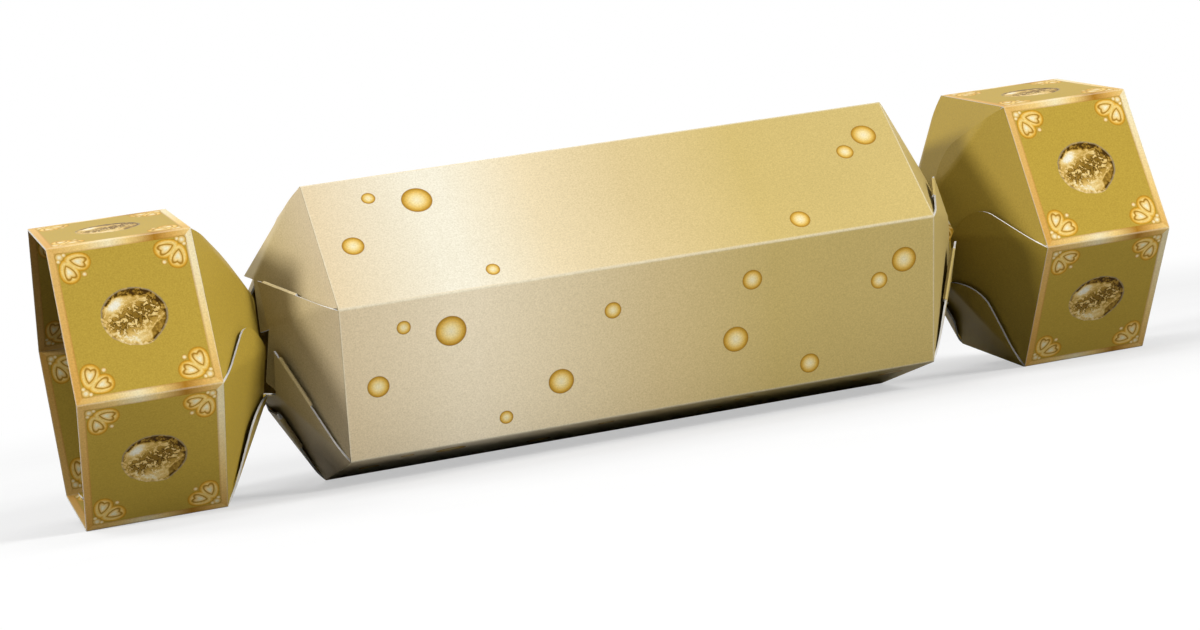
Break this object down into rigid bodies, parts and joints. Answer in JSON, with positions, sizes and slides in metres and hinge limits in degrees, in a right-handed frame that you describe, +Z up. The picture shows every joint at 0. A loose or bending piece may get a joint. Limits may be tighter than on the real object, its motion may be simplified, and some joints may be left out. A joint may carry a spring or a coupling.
{
  "type": "christmas cracker gift carton",
  "caption": "Six-sided cracker-shaped gift carton of printed board, with pinched iris-flap necks that untwist to open, open end caps and foil-wrapped truffles inside.",
  "frame": {"origin": "on the table under the middle of the carton", "axes": "+X along the carton to its right end, -Y to the front, +Z up"},
  "size_m": [0.2824, 0.079, 0.0747],
  "materials": {
    "body_board": "satin print",
    "cap_board": "satin print",
    "foil": "crumpled gold foil",
    "chocolate": "smooth"
  },
  "bodies": {
    "body": {"body_top": "body_board", "body_upper_front": "body_board", "body_lower_front": "body_board", "body_bottom": "body_board", "body_lower_back": "body_board", "body_upper_back": "body_board", "body_seam_tab": "body_board"},
    "left_body_flap_bottom": {"left_body_flap_bottom": "body_board"},
    "left_cap_flap_bottom": {"left_cap_flap_bottom": "cap_board"},
    "left_cap": {"left_cap_top": "cap_board", "left_cap_upper_front": "cap_board", "left_cap_lower_front": "cap_board", "left_cap_bottom": "cap_board", "left_cap_lower_back": "cap_board", "left_cap_upper_back": "cap_board", "left_cap_seam_tab": "cap_board"},
    "left_body_flap_top": {"left_body_flap_top": "body_board"},
    "left_cap_flap_top": {"left_cap_flap_top": "cap_board"},
    "left_body_flap_upper_front": {"left_body_flap_upper_front": "body_board"},
    "left_cap_flap_upper_front": {"left_cap_flap_upper_front": "cap_board"},
    "left_body_flap_lower_front": {"left_body_flap_lower_front": "body_board"},
    "left_cap_flap_lower_front": {"left_cap_flap_lower_front": "cap_board"},
    "left_body_flap_lower_back": {"left_body_flap_lower_back": "body_board"},
    "left_cap_flap_lower_back": {"left_cap_flap_lower_back": "cap_board"},
    "left_body_flap_upper_back": {"left_body_flap_upper_back": "body_board"},
    "left_cap_flap_upper_back": {"left_cap_flap_upper_back": "cap_board"},
    "right_body_flap_bottom": {"right_body_flap_bottom": "body_board"},
    "right_cap_flap_bottom": {"right_cap_flap_bottom": "cap_board"},
    "right_cap": {"right_cap_top": "cap_board", "right_cap_upper_front": "cap_board", "right_cap_lower_front": "cap_board", "right_cap_bottom": "cap_board", "right_cap_lower_back": "cap_board", "right_cap_upper_back": "cap_board", "right_cap_seam_tab": "cap_board"},
    "right_body_flap_top": {"right_body_flap_top": "body_board"},
    "right_cap_flap_top": {"right_cap_flap_top": "cap_board"},
    "right_body_flap_upper_front": {"right_body_flap_upper_front": "body_board"},
    "right_cap_flap_upper_front": {"right_cap_flap_upper_front": "cap_board"},
    "right_body_flap_lower_front": {"right_body_flap_lower_front": "body_board"},
    "right_cap_flap_lower_front": {"right_cap_flap_lower_front": "cap_board"},
    "right_body_flap_lower_back": {"right_body_flap_lower_back": "body_board"},
    "right_cap_flap_lower_back": {"right_cap_flap_lower_back": "cap_board"},
    "right_body_flap_upper_back": {"right_body_flap_upper_back": "body_board"},
    "right_cap_flap_upper_back": {"right_cap_flap_upper_back": "cap_board"},
    "truffle_1": {"truffle_1_core": "chocolate", "truffle_1_foil": "foil"},
    "truffle_2": {"truffle_2_core": "chocolate", "truffle_2_foil": "foil"},
    "truffle_3": {"truffle_3_core": "chocolate", "truffle_3_foil": "foil"},
    "truffle_4": {"truffle_4_core": "chocolate", "truffle_4_foil": "foil"},
    "truffle_5": {"truffle_5_core": "chocolate", "truffle_5_foil": "foil"}
  },
  "joints": [
    {"name": "left_neck_open", "type": "hinge", "parent": "body", "child": "left_body_flap_bottom", "pos_m": [-0.077, -0.00542, 0.00313], "axis": [0, -0.9877, 0.1564], "range_deg": [0, 31.14]},
    {"name": "left_neck_crease_bottom", "type": "hinge", "parent": "left_body_flap_bottom", "child": "left_cap_flap_bottom", "pos_m": [-0.0918, 0, 0.02534], "axis": [-0.1011, 0.9949, 0], "range_deg": [0, 62.42]},
    {"name": "left_cap_crease_bottom", "type": "hinge", "parent": "left_cap_flap_bottom", "child": "left_cap", "pos_m": [-0.1066, 0.00542, 0.00313], "axis": [0, -0.9877, -0.1564], "range_deg": [0, 31.16]},
    {"name": "left_body_crease_top", "type": "hinge", "parent": "body", "child": "left_body_flap_top", "pos_m": [-0.077, 0.00542, 0.07156], "axis": [0, 0.9877, -0.1564], "range_deg": [0, 31.16]},
    {"name": "left_cap_crease_top", "type": "hinge", "parent": "left_cap", "child": "left_cap_flap_top", "pos_m": [-0.1066, -0.00542, 0.07156], "axis": [0, -0.9877, -0.1564], "range_deg": [0, 31.16]},
    {"name": "left_body_crease_upper_front", "type": "hinge", "parent": "body", "child": "left_body_flap_upper_front", "pos_m": [-0.077, -0.02692, 0.05914], "axis": [0, 0.6293, 0.7771], "range_deg": [0, 31.16]},
    {"name": "left_cap_crease_upper_front", "type": "hinge", "parent": "left_cap", "child": "left_cap_flap_upper_front", "pos_m": [-0.1066, -0.03234, 0.04976], "axis": [0, -0.3584, -0.9336], "range_deg": [0, 31.16]},
    {"name": "left_body_crease_lower_front", "type": "hinge", "parent": "body", "child": "left_body_flap_lower_front", "pos_m": [-0.077, -0.03234, 0.02493], "axis": [0, -0.3584, 0.9336], "range_deg": [0, 31.16]},
    {"name": "left_cap_crease_lower_front", "type": "hinge", "parent": "left_cap", "child": "left_cap_flap_lower_front", "pos_m": [-0.1066, -0.02692, 0.01554], "axis": [0, 0.6293, -0.7771], "range_deg": [0, 31.16]},
    {"name": "left_body_crease_lower_back", "type": "hinge", "parent": "body", "child": "left_body_flap_lower_back", "pos_m": [-0.077, 0.02692, 0.01554], "axis": [0, -0.6293, -0.7771], "range_deg": [0, 31.16]},
    {"name": "left_cap_crease_lower_back", "type": "hinge", "parent": "left_cap", "child": "left_cap_flap_lower_back", "pos_m": [-0.1066, 0.03234, 0.02493], "axis": [0, 0.3584, 0.9336], "range_deg": [0, 31.16]},
    {"name": "left_body_crease_upper_back", "type": "hinge", "parent": "body", "child": "left_body_flap_upper_back", "pos_m": [-0.077, 0.03234, 0.04976], "axis": [0, 0.3584, -0.9336], "range_deg": [0, 31.16]},
    {"name": "left_cap_crease_upper_back", "type": "hinge", "parent": "left_cap", "child": "left_cap_flap_upper_back", "pos_m": [-0.1066, 0.02692, 0.05914], "axis": [0, -0.6293, 0.7771], "range_deg": [0, 31.16]},
    {"name": "right_neck_open", "type": "hinge", "parent": "body", "child": "right_body_flap_bottom", "pos_m": [0.077, -0.00542, 0.00313], "axis": [0, 0.9877, -0.1564], "range_deg": [0, 31.14]},
    {"name": "right_neck_crease_bottom", "type": "hinge", "parent": "right_body_flap_bottom", "child": "right_cap_flap_bottom", "pos_m": [0.0918, 0, 0.02534], "axis": [-0.1011, -0.9949, 0], "range_deg": [0, 62.42]},
    {"name": "right_cap_crease_bottom", "type": "hinge", "parent": "right_cap_flap_bottom", "child": "right_cap", "pos_m": [0.1066, 0.00542, 0.00313], "axis": [0, 0.9877, 0.1564], "range_deg": [0, 31.16]},
    {"name": "right_body_crease_top", "type": "hinge", "parent": "body", "child": "right_body_flap_top", "pos_m": [0.077, 0.00542, 0.07156], "axis": [0, -0.9877, 0.1564], "range_deg": [0, 31.16]},
    {"name": "right_cap_crease_top", "type": "hinge", "parent": "right_cap", "child": "right_cap_flap_top", "pos_m": [0.1066, -0.00542, 0.07156], "axis": [0, 0.9877, 0.1564], "range_deg": [0, 31.16]},
    {"name": "right_body_crease_upper_front", "type": "hinge", "parent": "body", "child": "right_body_flap_upper_front", "pos_m": [0.077, -0.02692, 0.05914], "axis": [0, -0.6293, -0.7771], "range_deg": [0, 31.16]},
    {"name": "right_cap_crease_upper_front", "type": "hinge", "parent": "right_cap", "child": "right_cap_flap_upper_front", "pos_m": [0.1066, -0.03234, 0.04976], "axis": [0, 0.3584, 0.9336], "range_deg": [0, 31.16]},
    {"name": "right_body_crease_lower_front", "type": "hinge", "parent": "body", "child": "right_body_flap_lower_front", "pos_m": [0.077, -0.03234, 0.02493], "axis": [0, 0.3584, -0.9336], "range_deg": [0, 31.16]},
    {"name": "right_cap_crease_lower_front", "type": "hinge", "parent": "right_cap", "child": "right_cap_flap_lower_front", "pos_m": [0.1066, -0.02692, 0.01554], "axis": [0, -0.6293, 0.7771], "range_deg": [0, 31.16]},
    {"name": "right_body_crease_lower_back", "type": "hinge", "parent": "body", "child": "right_body_flap_lower_back", "pos_m": [0.077, 0.02692, 0.01554], "axis": [0, 0.6293, 0.7771], "range_deg": [0, 31.16]},
    {"name": "right_cap_crease_lower_back", "type": "hinge", "parent": "right_cap", "child": "right_cap_flap_lower_back", "pos_m": [0.1066, 0.03234, 0.02493], "axis": [0, -0.3584, -0.9336], "range_deg": [0, 31.16]},
    {"name": "right_body_crease_upper_back", "type": "hinge", "parent": "body", "child": "right_body_flap_upper_back", "pos_m": [0.077, 0.03234, 0.04976], "axis": [0, -0.3584, 0.9336], "range_deg": [0, 31.16]},
    {"name": "right_cap_crease_upper_back", "type": "hinge", "parent": "right_cap", "child": "right_cap_flap_upper_back", "pos_m": [0.1066, 0.02692, 0.05914], "axis": [0, 0.6293, -0.7771], "range_deg": [0, 31.16]},
    {"name": "truffle_1_slide", "type": "slide", "parent": "body", "child": "truffle_1", "axis": [1, 0, 0], "range_m": [-0.002, 0.002]},
    {"name": "truffle_2_slide", "type": "slide", "parent": "body", "child": "truffle_2", "axis": [1, 0, 0], "range_m": [-0.002, 0.002]},
    {"name": "truffle_3_slide", "type": "slide", "parent": "body", "child": "truffle_3", "axis": [1, 0, 0], "range_m": [-0.002, 0.002]},
    {"name": "truffle_4_slide", "type": "slide", "parent": "body", "child": "truffle_4", "axis": [1, 0, 0], "range_m": [-0.002, 0.002]},
    {"name": "truffle_5_slide", "type": "slide", "parent": "body", "child": "truffle_5", "axis": [1, 0, 0], "range_m": [-0.002, 0.002]}
  ],
  "couplings": [
    {"joint": "left_neck_crease_bottom", "follows": "left_neck_open", "ratio": 2.0039},
    {"joint": "left_cap_crease_bottom", "follows": "left_neck_open", "ratio": 1},
    {"joint": "left_body_crease_top", "follows": "left_neck_open", "ratio": 1},
    {"joint": "left_cap_crease_top", "follows": "left_neck_open", "ratio": 1},
    {"joint": "left_body_crease_upper_front", "follows": "left_neck_open", "ratio": 1},
    {"joint": "left_cap_crease_upper_front", "follows": "left_neck_open", "ratio": 1},
    {"joint": "left_body_crease_lower_front", "follows": "left_neck_open", "ratio": 1},
    {"joint": "left_cap_crease_lower_front", "follows": "left_neck_open", "ratio": 1},
    {"joint": "left_body_crease_lower_back", "follows": "left_neck_open", "ratio": 1},
    {"joint": "left_cap_crease_lower_back", "follows": "left_neck_open", "ratio": 1},
    {"joint": "left_body_crease_upper_back", "follows": "left_neck_open", "ratio": 1},
    {"joint": "left_cap_crease_upper_back", "follows": "left_neck_open", "ratio": 1},
    {"joint": "right_neck_crease_bottom", "follows": "right_neck_open", "ratio": 2.0039},
    {"joint": "right_cap_crease_bottom", "follows": "right_neck_open", "ratio": 1},
    {"joint": "right_body_crease_top", "follows": "right_neck_open", "ratio": 1},
    {"joint": "right_cap_crease_top", "follows": "right_neck_open", "ratio": 1},
    {"joint": "right_body_crease_upper_front", "follows": "right_neck_open", "ratio": 1},
    {"joint": "right_cap_crease_upper_front", "follows": "right_neck_open", "ratio": 1},
    {"joint": "right_body_crease_lower_front", "follows": "right_neck_open", "ratio": 1},
    {"joint": "right_cap_crease_lower_front", "follows": "right_neck_open", "ratio": 1},
    {"joint": "right_body_crease_lower_back", "follows": "right_neck_open", "ratio": 1},
    {"joint": "right_cap_crease_lower_back", "follows": "right_neck_open", "ratio": 1},
    {"joint": "right_body_crease_upper_back", "follows": "right_neck_open", "ratio": 1},
    {"joint": "right_cap_crease_upper_back", "follows": "right_neck_open", "ratio": 1}
  ]
}
